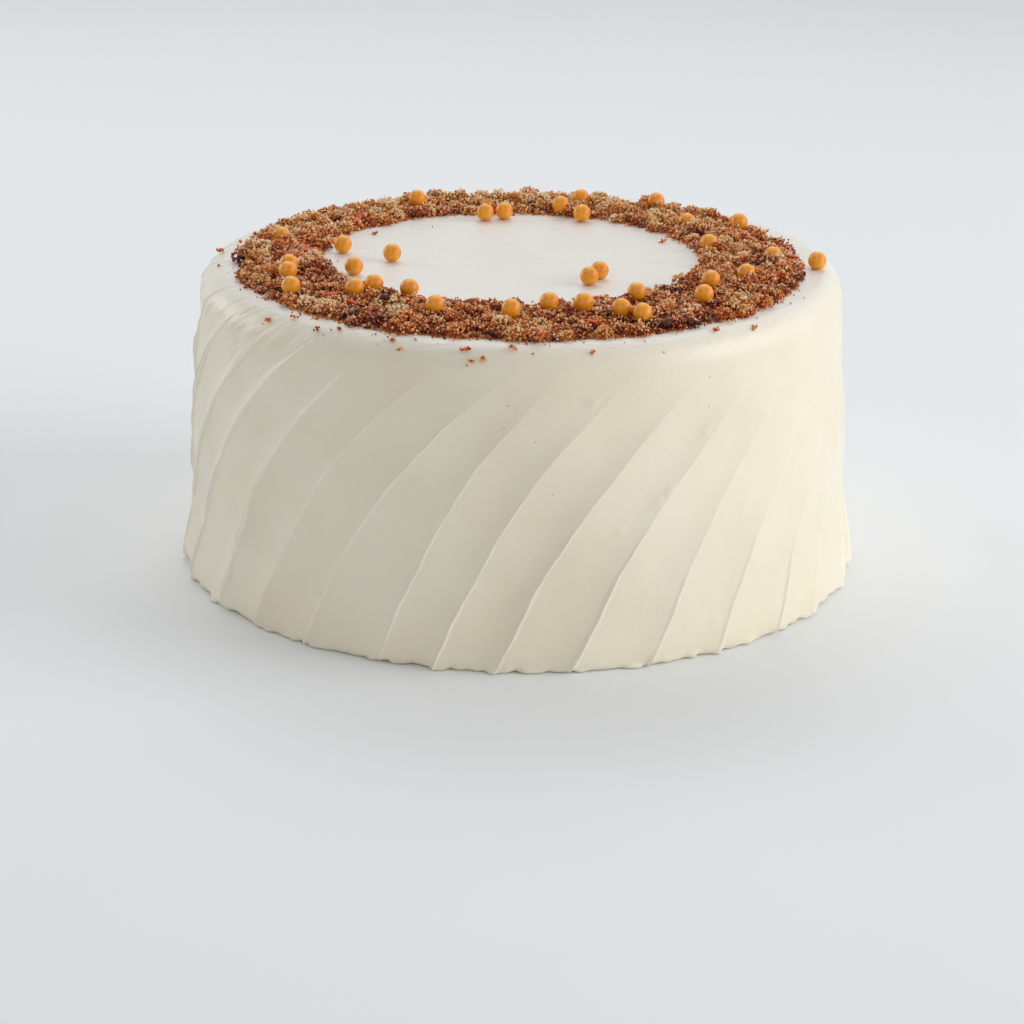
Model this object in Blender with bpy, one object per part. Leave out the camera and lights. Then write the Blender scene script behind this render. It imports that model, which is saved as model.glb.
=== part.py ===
"""Carrot cake: a frosted round cake, a ring of cake crumbs and 34 sugar pearls.

Units are metres and +Z is up. The origin is the middle of the flat underside.
Angles run round the cake from its front, -Y, towards its right, +X.
"""
import math

import bmesh
import bpy

MM = 0.001
GAP = 0.3 * MM

# Driving sizes of the frosted body
CAKE_HEIGHT = 98.0 * MM
SIDE_RADIUS = 105.5 * MM
SHOULDER_DROP = 9.0 * MM
SHOULDER_ROUND = 8.5 * MM
SHOULDER_UNEVEN = 0.28
TAPER_START = 40.0 * MM
TAPER = 3.5 * MM
FOOT_FRONT = 1.4 * MM
FOOT_SIDES = 3.8 * MM
FOOT_REACH = 18.0 * MM
FOOT_TUCK = 0.9 * MM

# The palette knife's strokes: upright hollows that lean over towards the top
FIRST_RIDGE_DEG = -84.3
STROKE_WIDTHS_DEG = (12, 13.5, 10.5, 11, 15, 9, 10, 12, 13, 13, 13, 9.5, 16, 10.5, 12)
TIMES_ROUND = 2
LEAN_DEG = 39.0
LEAN_EVEN_SHARE = 0.55
HOLLOW_DEPTH = 1.3 * MM
HOLLOW_STEPS = 4
HOLLOW_CURVE = 1.7
SIDE_LEVELS = (0.0, 0.02, 0.07, 0.14, 0.24, 0.36, 0.48, 0.60, 0.72, 0.83, 0.92, 1.0)
SHOULDER_STEPS = 4

# The ring of crumbs; its two edges are circles about slightly different middles
RING_INNER_RADIUS = 59.0 * MM
RING_INNER_MIDDLE = (-3.0 * MM, 2.0 * MM)
RING_OUTER_RADIUS = 90.5 * MM
RING_OUTER_MIDDLE = (-0.5 * MM, -4.5 * MM)
RING_EDGE_WAVE = 1.3 * MM
RING_EDGE_HEIGHT = 1.0 * MM
RING_CREST = 3.6 * MM
RING_LUMP = 0.7 * MM
RING_STATIONS = 100
RING_SHARES = (0.0, 0.14, 0.36, 0.62, 0.85, 1.0)

# Sugar pearls, as (degrees from the front, millimetres from the middle). Those on the
# crumbs have a third number, how many millimetres deep they are sunk in them.
PEARL_DIAMETER = 5.8 * MM
PEARL_FINENESS = 2
PEARLS_ON_FROSTING = (
    (-167, 54), (-174, 55), (159, 57), (48, 33), (36, 36),
    (-68, 56), (-85, 41), (-96.5, 57.5), (86, 94),
)
PEARLS_ON_CRUMBS = (
    (-151, 73, 2), (168, 64, 2.2), (164, 74, 2.2), (145, 80, 1.5), (127, 69, 3),
    (116, 80, 1.4), (102, 62, 2.5), (88, 80, 3), (71, 74, 3.2), (56, 70, 1),
    (44, 79, 1), (33, 64, 1.2), (22, 79, 1.2), (25, 84.5, 1.4), (15, 72, 0.8),
    (7, 70, 1), (-2, 77, 0.8), (-19, 77, 1), (-34, 60, 1), (-43, 65, 1),
    (-43.5, 72.5, 1.4), (-63, 80, 1), (-68.5, 77, 1.2), (-53, 86.5, 1), (-101, 79, 3),
)


def clear_scene():
    for old in list(bpy.data.objects):
        bpy.data.objects.remove(old, do_unlink=True)


def material(name, colour, roughness):
    mat = bpy.data.materials.new(name)
    mat.use_nodes = True
    shader = mat.node_tree.nodes["Principled BSDF"]
    shader.inputs["Base Color"].default_value = (*colour, 1.0)
    shader.inputs["Roughness"].default_value = roughness
    shader.inputs["Metallic"].default_value = 0.0
    return mat


def add_object(name, mesh, mat):
    mesh.materials.append(mat)
    mesh.shade_smooth()
    mesh.set_sharp_from_angle(angle=math.radians(35))
    obj = bpy.data.objects.new(name, mesh)
    bpy.context.scene.collection.objects.link(obj)
    return obj


def polar(angle, radius):
    """X and Y of a point that lies radius from the middle, angle from the front."""
    return radius * math.sin(angle), -radius * math.cos(angle)


def bridge(bm, lower, upper):
    """Quads between two closed loops of the same number of vertices."""
    count = len(lower)
    for i in range(count):
        j = (i + 1) % count
        bm.faces.new((lower[i], lower[j], upper[j], upper[i]))


def stroke_columns():
    """(angle at the foot, share of the full hollow) for each column of vertices."""
    columns = []
    start = FIRST_RIDGE_DEG
    for width in STROKE_WIDTHS_DEG * TIMES_ROUND:
        for step in range(HOLLOW_STEPS):
            across = step / HOLLOW_STEPS
            hollow = 1.0 - abs(2.0 * across - 1.0) ** HOLLOW_CURVE
            columns.append((math.radians(start + width * across), hollow))
        start += width
    return columns


def lean(height):
    """How far a stroke has moved round the cake at this height."""
    up = height / CAKE_HEIGHT
    return math.radians(LEAN_DEG) * (LEAN_EVEN_SHARE * up + (1.0 - LEAN_EVEN_SHARE) * up ** 3)


def side_radius(angle, height):
    """Radius over the ridges: straight below, tapered above, fuller at the foot."""
    above = max(0.0, height - TAPER_START) / (CAKE_HEIGHT - SHOULDER_DROP - TAPER_START)
    foot = FOOT_FRONT + (FOOT_SIDES - FOOT_FRONT) * math.sin(angle) ** 2
    flare = foot * math.exp(-((height / FOOT_REACH) ** 2))
    tuck = FOOT_TUCK if height == 0.0 else 0.0
    return SIDE_RADIUS - TAPER * above ** 1.3 + flare - tuck


def hollow_depth(height):
    """Strokes are deepest low down and run out at the shoulder."""
    up = height / CAKE_HEIGHT
    return HOLLOW_DEPTH * (1.0 - up ** 4)


def body_levels():
    """(height, share of the shoulder's rounding passed) from the foot to the flat top."""
    straight = CAKE_HEIGHT - SHOULDER_DROP
    levels = [(straight * share, 0.0) for share in SIDE_LEVELS]
    for step in range(1, SHOULDER_STEPS + 1):
        turn = math.pi / 2 * step / SHOULDER_STEPS
        levels.append((straight + SHOULDER_DROP * math.sin(turn), 1.0 - math.cos(turn)))
    return levels


def build_body():
    bm = bmesh.new()
    loops = []
    for height, rounded in body_levels():
        loop = []
        for foot_angle, hollow in stroke_columns():
            angle = foot_angle + lean(height)
            inset = SHOULDER_ROUND * (1.0 - SHOULDER_UNEVEN * math.sin(angle)) * rounded
            below = min(height, CAKE_HEIGHT - SHOULDER_DROP)
            radius = side_radius(angle, below) - hollow_depth(height) * hollow - inset
            loop.append(bm.verts.new((*polar(angle, radius), height)))
        loops.append(loop)
    for lower, upper in zip(loops, loops[1:]):
        bridge(bm, lower, upper)
    bm.faces.new(reversed(loops[0]))
    bm.faces.new(loops[-1])
    mesh = bpy.data.meshes.new("frosted_cake")
    bm.to_mesh(mesh)
    bm.free()
    return add_object("frosted_cake", mesh, material("Cream frosting", (0.80, 0.76, 0.66), 0.45))


def wave(angle, *turns):
    """A repeatable uneven line round the cake, about -1 to 1."""
    return sum(math.sin(n * angle + 1.7 * n * n) for n in turns) / len(turns)


def ring_edges(angle):
    """Inner and outer radius of the crumbs in this direction, from the cake's middle."""
    edges = []
    for (mid_x, mid_y), base in (
        (RING_INNER_MIDDLE, RING_INNER_RADIUS),
        (RING_OUTER_MIDDLE, RING_OUTER_RADIUS),
    ):
        along = mid_x * math.sin(angle) - mid_y * math.cos(angle)
        edges.append(base + along)
    edges[0] += RING_EDGE_WAVE * wave(angle, 7, 13, 22)
    edges[1] += RING_EDGE_WAVE * wave(angle, 9, 16, 25)
    return edges


def crumb_height(angle, share):
    """Height of the heap over the frosting, share of the way across the ring."""
    crown = math.sqrt(max(0.0, math.sin(math.pi * share)))
    lumps = wave(angle + 2.0 * share, 11, 19, 31) * RING_LUMP
    return RING_EDGE_HEIGHT + (RING_CREST - RING_EDGE_HEIGHT + lumps) * crown


def build_ring():
    bm = bmesh.new()
    base = CAKE_HEIGHT + GAP
    sections = []
    for station in range(RING_STATIONS):
        angle = 2.0 * math.pi * station / RING_STATIONS
        inner, outer = ring_edges(angle)
        points = [(inner, 0.0)]
        for share in RING_SHARES:
            points.append((inner + (outer - inner) * share, crumb_height(angle, share)))
        points.append((outer, 0.0))
        section = [bm.verts.new((*polar(angle, r), base + h)) for r, h in points]
        sections.append(section)
    for section, following in zip(sections, sections[1:] + sections[:1]):
        bridge(bm, following, section)
    mesh = bpy.data.meshes.new("crumb_ring")
    bm.to_mesh(mesh)
    bm.free()
    return add_object("crumb_ring", mesh, material("Cake crumb", (0.40, 0.15, 0.05), 0.9))


def pearl_mesh(name, radius):
    mesh = bpy.data.meshes.new(name)
    bm = bmesh.new()
    bmesh.ops.create_icosphere(bm, subdivisions=PEARL_FINENESS, radius=radius)
    bm.to_mesh(mesh)
    bm.free()
    return mesh


def pearl_centres():
    """Where each pearl's middle is: on the bare frosting first, then sunk in the crumbs."""
    centres = []
    radius = PEARL_DIAMETER / 2
    for degrees, from_middle in PEARLS_ON_FROSTING:
        x, y = polar(math.radians(degrees), from_middle * MM)
        centres.append((x, y, CAKE_HEIGHT + GAP + radius))
    for degrees, from_middle, sunk in PEARLS_ON_CRUMBS:
        angle = math.radians(degrees)
        x, y = polar(angle, from_middle * MM)
        inner, outer = ring_edges(angle)
        share = (from_middle * MM - inner) / (outer - inner)
        rise = crumb_height(angle, min(1.0, max(0.0, share))) - sunk * MM
        centres.append((x, y, CAKE_HEIGHT + GAP + max(rise, GAP) + radius))
    return centres


def build_pearls():
    coat = material("Sugar pearl", (0.85, 0.42, 0.06), 0.35)
    pearls = []
    for number, centre in enumerate(pearl_centres(), start=1):
        name = f"pearl_{number:02d}"
        mesh = pearl_mesh(name, PEARL_DIAMETER / 2)
        pearl = add_object(name, mesh, coat)
        pearl.location = centre
        pearls.append(pearl)
    return pearls


def dent_ring(ring, pearls):
    """Cut each pearl's seat out of the crumbs, with a gap all round it."""
    seat = pearl_mesh("pearl_seat", PEARL_DIAMETER / 2 + GAP)
    for pearl in pearls:
        cutter = bpy.data.objects.new(f"seat_{pearl.name}", seat)
        bpy.context.scene.collection.objects.link(cutter)
        cutter.location = pearl.location
        cutter.hide_render = True
        cutter.display_type = "WIRE"
        cut = ring.modifiers.new(f"seat_{pearl.name}", "BOOLEAN")
        cut.operation = "DIFFERENCE"
        cut.object = cutter


def main():
    clear_scene()
    build_body()
    ring = build_ring()
    pearls = build_pearls()
    dent_ring(ring, pearls)


main()
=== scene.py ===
# %% [markdown]
# # A frosted carrot cake
#
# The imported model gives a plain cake, a plain ring where the crumbs lie, and plain balls for the sugar
# pearls. This script keeps their places and sizes and gives each one the surface of the real thing:
# frosting spread with a palette knife, toasted crumbs in clumps, and satin sugar pearls.
#
# Everything is in metres. Angles run round the cake from its front, -Y, towards its right, +X.

import math

import bmesh
import bpy
import numpy as np
from mathutils import Matrix, Vector
from mathutils.bvhtree import BVHTree
from mathutils.kdtree import KDTree


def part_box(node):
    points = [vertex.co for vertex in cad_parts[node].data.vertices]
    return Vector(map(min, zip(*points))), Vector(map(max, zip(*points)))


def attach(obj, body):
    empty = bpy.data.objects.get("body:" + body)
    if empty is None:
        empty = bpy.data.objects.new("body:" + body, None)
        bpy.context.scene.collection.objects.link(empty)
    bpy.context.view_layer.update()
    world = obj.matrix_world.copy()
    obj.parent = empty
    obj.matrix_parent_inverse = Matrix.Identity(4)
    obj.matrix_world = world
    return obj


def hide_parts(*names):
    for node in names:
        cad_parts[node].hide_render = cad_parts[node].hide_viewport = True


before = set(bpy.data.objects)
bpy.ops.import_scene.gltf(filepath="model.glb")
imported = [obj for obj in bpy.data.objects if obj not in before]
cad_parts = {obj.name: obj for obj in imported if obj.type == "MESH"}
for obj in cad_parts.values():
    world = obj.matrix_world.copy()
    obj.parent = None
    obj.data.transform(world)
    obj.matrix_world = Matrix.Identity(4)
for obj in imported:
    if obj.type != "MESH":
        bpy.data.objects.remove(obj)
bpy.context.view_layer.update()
MM = 0.001

# %% [markdown]
# ## Small tools
#
# Colours are written as sRGB hex, the way a colour picker shows them, and shaders want linear light, so
# one function turns the one into the other. One more function adds a shader node: its sockets are given
# as a dictionary, where a value is set and another node's socket is linked.

# %% Colour and node helpers
def srgb(code):
    parts = [int(code[i:i + 2], 16) / 255 for i in (1, 3, 5)]
    linear = [p / 12.92 if p <= 0.04045 else ((p + 0.055) / 1.055) ** 2.4 for p in parts]
    return (*linear, 1.0)


def add(tree, kind, sockets=None, stops=None, **settings):
    node = tree.nodes.new("ShaderNode" + kind)
    for name, value in settings.items():
        setattr(node, name, value)
    if stops:
        ramp = node.color_ramp.elements
        while len(ramp) < len(stops):
            ramp.new(1.0)
        for element, (place, code) in zip(ramp, stops):
            element.position = place
            element.color = srgb(code)
    for name, value in (sockets or {}).items():
        if isinstance(value, bpy.types.NodeSocket):
            tree.links.new(value, node.inputs[name])
        else:
            node.inputs[name].default_value = value
    return node


def new_material(name):
    made = bpy.data.materials.new(name)
    made.use_nodes = True
    made.node_tree.nodes.clear()
    return made, made.node_tree


def finish_material(tree, shader):
    add(tree, "OutputMaterial", {"Surface": shader.outputs[0]})


# %% [markdown]
# The uneven surfaces are made with noise on the mesh itself. A lattice of random numbers, blended
# smoothly between its points, is enough, and numpy works it out for a whole mesh at once.

# %% Noise and mesh helpers
def lattice_noise(points, cell, seed=0):
    """Smooth random values from -1 to 1; cell is the size of one bump."""
    scaled = np.asarray(points, float) / cell
    base = np.floor(scaled).astype(np.int64)
    part = scaled - base
    part = part * part * (3 - 2 * part)
    total = np.zeros(len(scaled))
    for corner in range(8):
        bits = np.array([(corner >> axis) & 1 for axis in range(3)])
        key = (base + bits) @ np.array([73856093, 19349663, 83492791]) + seed * 2654435
        key = (key ^ (key >> 13)) * 1274126177 & 0x7FFFFFFF
        key = (key ^ (key >> 15)) * 668265263 & 0x7FFFFFFF
        value = (key >> 7) % 65536 / 32768 - 1
        weight = np.prod(np.where(bits == 1, part, 1 - part), axis=1)
        total += value * weight
    return total


def mesh_object(name, points, *face_blocks, smooth=True):
    """Each block is an array of faces with the same number of corners."""
    mesh = bpy.data.meshes.new(name)
    points = np.asarray(points, np.float32)
    corners = np.concatenate([block.ravel() for block in face_blocks]).astype(np.int32)
    sizes = np.concatenate([np.full(len(block), block.shape[1]) for block in face_blocks])
    starts = np.concatenate([[0], np.cumsum(sizes)[:-1]]).astype(np.int32)
    mesh.vertices.add(len(points))
    mesh.vertices.foreach_set("co", points.ravel())
    mesh.loops.add(len(corners))
    mesh.loops.foreach_set("vertex_index", corners)
    mesh.polygons.add(len(sizes))
    mesh.polygons.foreach_set("loop_start", starts)
    mesh.update(calc_edges=True)
    mesh.polygons.foreach_set("use_smooth", np.full(len(sizes), smooth))
    piece = bpy.data.objects.new(name, mesh)
    bpy.context.scene.collection.objects.link(piece)
    print(name, "has", int((sizes - 2).sum()), "triangles")
    return piece


def grid_faces(rows, columns):
    """Quads over rows of vertices that each close into a loop, numbered row by row."""
    low = np.arange((rows - 1) * columns).reshape(rows - 1, columns)
    low_next = np.roll(low, -1, axis=1)
    return np.stack([low, low_next, low_next + columns, low + columns], axis=2).reshape(-1, 4)


def float_layer(piece, name, values):
    layer = piece.data.attributes.new(name, "FLOAT", "POINT")
    layer.data.foreach_set("value", np.asarray(values, np.float32))


# %% [markdown]
# ## The camera
#
# The cake is seen from a little under a metre through a short telephoto lens, looking down at about
# 20 degrees, so that the top shows as a flat ellipse and the side is seen almost square on. The camera
# stands straight in front and is turned a fraction of a degree on its axis, as a held camera is.

# %% Place the camera
CAMERA_AT = Vector((-1.0, -857.0, 320.2)) * MM
CAMERA_DOWN_DEG = 19.75
CAMERA_TURN_DEG = 0.05
CAMERA_ROLL_DEG = 0.75
LENS_MM = 97.2

camera_data = bpy.data.cameras.new("camera")
camera_data.lens = LENS_MM
camera_data.sensor_width = 36.0
camera = bpy.data.objects.new("camera", camera_data)
turn = Matrix.Rotation(math.radians(CAMERA_TURN_DEG), 4, "Z")
tilt = Matrix.Rotation(math.radians(90 - CAMERA_DOWN_DEG), 4, "X")
roll = Matrix.Rotation(math.radians(CAMERA_ROLL_DEG), 4, "Z")
camera.matrix_world = Matrix.Translation(CAMERA_AT) @ turn @ tilt @ roll
bpy.context.scene.collection.objects.link(camera)
bpy.context.scene.camera = camera
print("camera distance in mm:", round(CAMERA_AT.length / MM))

# %% [markdown]
# ## Frosting: the shape
#
# The frosting is cream cheese icing about 4 mm thick. A palette knife was drawn up the side again and
# again, so the side is a row of shallow hollows. Each stroke leans further round as it rises, and it
# pushes up a thin lip of icing where it meets the stroke before it. Two dozen columns of vertices for
# each stroke, crowded towards the lips, let the mesh show a lip half a millimetre wide. A bump map could
# draw the lines, but it would leave the outline smooth, and these ridges show on the outline too.

# %% Sizes of the frosting
CAKE_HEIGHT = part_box("frosted_cake")[1].z
SIDE_RADIUS = 105.5 * MM
SHOULDER_DROP = 9.0 * MM
SHOULDER_ROUND = 8.5 * MM
SHOULDER_UNEVEN = 0.28
TAPER_START = 40.0 * MM
TAPER = 3.5 * MM
FOOT_FRONT = 1.4 * MM
FOOT_SIDES = 3.8 * MM
FOOT_REACH = 18.0 * MM
LEAN_DEG = 39.0
LEAN_EVEN_SHARE = 0.55
HOLLOW_DEPTH = 1.35 * MM
HOLLOW_DEPTH_RIGHT = 0.95 * MM
HOLLOW_DEEPEST = 0.63
HOLLOW_CURVE = 1.8
# A stroke starts to fade at RUN_OUT_AT - RUN_OUT_LENGTH of the height and ends at RUN_OUT_AT
RUN_OUT_AT = 0.93
RUN_OUT_HIGHER_LEFT = 0.10
RUN_OUT_LENGTH = 0.34

# Each ridge: its angle at the foot in degrees, and how far it leans, where 1 is usual
FRONT_RIDGES = np.array([
    (-83.5, 1.02), (-73.0, 1.00), (-59.0, 0.93), (-48.5, 1.03), (-37.0, 1.06),
    (-22.5, 0.88), (-13.3, 0.98), (-3.4, 1.12), (8.7, 1.16), (22.0, 1.05),
    (34.4, 1.07), (47.5, 0.98), (58.0, 0.93), (72.5, 1.00), (84.0, 1.03)])
BACK_RIDGES = FRONT_RIDGES + [180.0, 0.0]
RIDGES = np.concatenate([FRONT_RIDGES, BACK_RIDGES, FRONT_RIDGES[:1] + [360.0, 0.0]])
STROKES = len(RIDGES) - 1
print("strokes:", STROKES, "average width in mm:", round(2 * math.pi * SIDE_RADIUS / STROKES / MM, 1))

# %% Columns across each stroke, rows up the side
COLUMNS_PER_STROKE = 24
CROWDED_SHARE = 0.78
SIDE_ROWS = 82
SHOULDER_ROWS = 14
t = np.arange(COLUMNS_PER_STROKE) / COLUMNS_PER_STROKE
across = (1 - CROWDED_SHARE) * t + CROWDED_SHARE * (1 - np.cos(np.pi * t)) / 2
stroke = np.repeat(np.arange(STROKES), COLUMNS_PER_STROKE)
share = np.tile(across, STROKES)
foot_rows = np.array([0, 0.35, 0.8, 1.4, 2.2, 3.2, 4.4]) * MM
side_rows = np.linspace(5.6 * MM, CAKE_HEIGHT - SHOULDER_DROP, SIDE_ROWS)
turns = np.linspace(0, math.pi / 2, SHOULDER_ROWS + 1)[1:]
heights = np.concatenate([
    foot_rows, side_rows, CAKE_HEIGHT - SHOULDER_DROP + SHOULDER_DROP * np.sin(turns)])
rounded = np.concatenate([np.zeros(len(foot_rows) + len(side_rows)), 1 - np.cos(turns)])
print("side mesh:", len(heights), "rows of", len(stroke))

# %% [markdown]
# A hand never repeats a stroke, so each ridge wanders a little, its hollow is deeper or shallower, and
# its lip comes and goes. A hollow is not even: the knife digs in where it meets the next stroke, so the
# wall on the right is twice as steep as the one on the left. On the left of the cake the strokes run on
# over the shoulder; on the right the knife was lifted earlier and only soft hollows are left.

# %% The frosting's radius at every vertex
rng = np.random.default_rng(7)
ridge_phase = rng.uniform(0, 2 * np.pi, (STROKES + 1, 3))
lip_strength = rng.uniform(0.7, 1.1, STROKES + 1)
stroke_depth = rng.uniform(0.8, 1.2, STROKES)
ridge_phase[-1] = ridge_phase[0]
lip_strength[-1] = lip_strength[0]
WANDER = 0.26 * MM
WANDER_LENGTHS = np.array([52, 23, 9]) * MM
WANDER_SIZES = np.array([1.0, 0.7, 0.4])
LIP_HEIGHT = 0.85 * MM
LIP_WIDTH = 0.31 * MM


def ridge_angles(height):
    """The angle of every ridge at this height."""
    up = height / CAKE_HEIGHT
    lean = LEAN_DEG * (LEAN_EVEN_SHARE * up + (1 - LEAN_EVEN_SHARE) * up ** 3)
    waves = np.sin(2 * np.pi * height / WANDER_LENGTHS + ridge_phase) * WANDER_SIZES
    return np.radians(RIDGES[:, 0] + lean * RIDGES[:, 1]) + WANDER * waves.sum(axis=1) / SIDE_RADIUS


def frosting_row(height, turned):
    """Angle, radius and lip share of one row of vertices, and how far up the side it is.

    turned is 0 on the side and 1 where the shoulder has rounded over onto the top.
    """
    up = height / CAKE_HEIGHT
    ridges = ridge_angles(height)
    width = ridges[stroke + 1] - ridges[stroke]
    angle = ridges[stroke] + width * share
    below = min(height, CAKE_HEIGHT - SHOULDER_DROP)
    above = max(0.0, below - TAPER_START) / (CAKE_HEIGHT - SHOULDER_DROP - TAPER_START)
    foot = FOOT_FRONT + (FOOT_SIDES - FOOT_FRONT) * np.sin(angle) ** 2
    radius = SIDE_RADIUS - TAPER * above ** 1.3 + foot * math.exp(-((below / FOOT_REACH) ** 2))

    left = 0.5 - 0.5 * np.sin(angle)
    run_out = np.clip((RUN_OUT_AT + RUN_OUT_HIGHER_LEFT * left - up) / RUN_OUT_LENGTH, 0, 1)
    kept = run_out * run_out * (3 - 2 * run_out)
    reach = np.where(share < HOLLOW_DEEPEST, HOLLOW_DEEPEST, 1 - HOLLOW_DEEPEST)
    hollow = 1 - np.abs((share - HOLLOW_DEEPEST) / reach) ** HOLLOW_CURVE
    depth = HOLLOW_DEPTH_RIGHT + (HOLLOW_DEPTH - HOLLOW_DEPTH_RIGHT) * np.clip(2 * left - 0.3, 0, 1)
    radius -= depth * stroke_depth[stroke] * kept * hollow

    ridge = np.where(share < 0.5, stroke, stroke + 1)
    distance = np.where(share < 0.5, share, 1 - share) * width * SIDE_RADIUS
    place = np.stack([(ridge % STROKES) * 40 * MM, np.full(len(ridge), height), 0 * angle], axis=1)
    torn = np.clip(0.85 + 0.8 * lattice_noise(place, 6 * MM, seed=3), 0.3, 1.3)
    # On the right a lip stands up only low down; on the left it runs to the shoulder
    low_right = np.clip(1.35 - up * (2.6 - 2.2 * left) - 0.5 * (1 - left), 0, 1)
    lip_and_highlight = lip_strength[ridge] * torn * low_right * np.minimum(1, kept * 3)
    lip_and_highlight *= np.exp(-((distance / LIP_WIDTH) ** 2))
    radius += LIP_HEIGHT * lip_and_highlight

    inset = SHOULDER_ROUND * (1 - SHOULDER_UNEVEN * np.sin(angle)) * turned
    return angle, radius - inset, lip_and_highlight, up


# %% [markdown]
# The foot of the cake is where each stroke started, so its edge is ragged: little tags and notches a few
# millimetres long. Over the whole side lies a soft waviness from the hand, and on the left shoulder the
# icing had begun to dry and crinkled under the knife. Small dabs and a few dragged patches are left too.

# %% Build the side, then the flat top
RAGGED = 2.2 * MM
RAGGED_UP_TO = 1.3 * MM
WAVINESS = 0.35 * MM
CRINKLE = 0.42 * MM
UNEVEN = 0.09 * MM
TOP_RINGS = 15
TOP_WAVE = 0.22 * MM
TOP_DIP = 0.15 * MM
# Dabs the knife left behind, as (degrees from the front, mm up)
DABS = (
    (32.0, 70.0), (23.0, 51.0), (25.0, 54.0), (16.8, 42.5), (-23.0, 38.0), (-49.5, 45.0),
    (-37.0, 8.0), (34.0, 11.0), (12.0, 82.0), (56.7, 87.0), (128.0, 40.0), (-140.0, 66.0))
DAB_HEIGHT = 0.5 * MM
DAB_WIDTH = 1.1 * MM
# Where the knife dragged on drying icing: (degrees, mm up, half its degrees, half its mm, strength)
DRAGGED = ((18.0, 87.0, 13.0, 9.0, 0.5), (30.0, 52.0, 9.0, 14.0, 0.3), (150.0, 80.0, 14.0, 10.0, 0.4))


def turn_between(angle, degrees):
    """Degrees from this direction to each angle, from -180 to 180."""
    return (np.degrees(angle) - degrees + 180) % 360 - 180


rows, crinkled, lip_highlight_rows, stroke_place = [], [], [], []
for height, turned in zip(heights, rounded):
    angle, radius, lip_and_highlight, up = frosting_row(height, turned)
    ring = SIDE_RADIUS * np.stack([np.sin(angle), -np.cos(angle), 0 * angle], axis=1)
    ring[:, 2] = height
    ragged = 0.5 * lattice_noise(ring, 5 * MM, seed=11) + 0.6 * lattice_noise(ring, 2.4 * MM, seed=12)
    radius += RAGGED * (ragged - 0.5) * math.exp(-height / RAGGED_UP_TO)
    radius += WAVINESS * lattice_noise(ring, 26 * MM, seed=13) * min(1.0, height / (10 * MM))
    radius += UNEVEN * lattice_noise(ring, 6 * MM, seed=16) * min(1.0, height / (4 * MM))
    crinkle = np.clip(-np.sin(angle + 0.15) * 1.8 - 0.45, 0, 1) * np.clip((up - 0.74) / 0.12, 0, 1)
    along = np.stack([(stroke + share) * 22.0, ring[:, 2] / MM, 0 * angle], axis=1)
    radius += CRINKLE * crinkle * lattice_noise(along * [1, 0.3, 1], 1.6, seed=14)
    dragged = 0 * angle
    for degrees, up_mm, half_turn, half_up, strength in DRAGGED:
        off = turn_between(angle, degrees) / half_turn
        dragged += strength * np.exp(-(off ** 2) - ((height / MM - up_mm) / half_up) ** 2)
    for degrees, up_mm in DABS:
        off = np.radians(turn_between(angle, degrees)) * SIDE_RADIUS
        radius += DAB_HEIGHT * np.exp(-(off ** 2 + (height - up_mm * MM) ** 2) / DAB_WIDTH ** 2)
    rows.append(np.stack([radius * np.sin(angle), -radius * np.cos(angle), ring[:, 2]], axis=1))
    crinkled.append(np.minimum(1.0, crinkle + dragged))
    lip_highlight_rows.append(lip_and_highlight)
    stroke_place.append(along)

edge = rows[-1]
for number in range(1, TOP_RINGS + 1):
    shrink = (1 - number / (TOP_RINGS + 1)) ** 0.8
    ring = edge * [shrink, shrink, 1.0]
    dip = min(1.0, number / 3)
    ring[:, 2] += dip * (TOP_WAVE * lattice_noise(ring, 19 * MM, seed=15) - TOP_DIP)
    rows.append(ring)
    crinkled.append(crinkled[len(heights) - 1] * max(0.0, 1 - number / 2))
    lip_highlight_rows.append(0 * lip_and_highlight)
    stroke_place.append(stroke_place[-1] + [0, SIDE_RADIUS / MM / TOP_RINGS, 0])

columns = len(stroke)
points = np.concatenate([*rows, [[0, 0, CAKE_HEIGHT], [0, 0, 0]]])
middle_top = len(points) - 2
first = np.arange(columns)
last = first + middle_top - columns
lid = np.stack([last, np.roll(last, -1), np.full(columns, middle_top)], axis=1)
base = np.stack([np.roll(first, -1), first, np.full(columns, middle_top + 1)], axis=1)
frosting = mesh_object("frosting", points, grid_faces(len(rows), columns), lid, base)

# %% Store what the material reads
float_layer(frosting, "crinkled", np.concatenate([*crinkled, [0, 0]]))
# The lips' share both raises the lips in the mesh and, in the material, paints a highlight on them in a
# whiter colour
float_layer(frosting, "lip_and_highlight", np.concatenate([*lip_highlight_rows, [0, 0]]))
on_top = np.concatenate([rounded, np.ones(TOP_RINGS)])
float_layer(frosting, "on_top", np.concatenate([np.repeat(on_top, columns), [1, 0]]))
layer = frosting.data.attributes.new("stroke_mm", "FLOAT_VECTOR", "POINT")
places = np.concatenate([*stroke_place, np.zeros((2, 3))])
layer.data.foreach_set("vector", places.astype(np.float32).ravel())

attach(frosting, "root")
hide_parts("frosted_cake")
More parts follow.
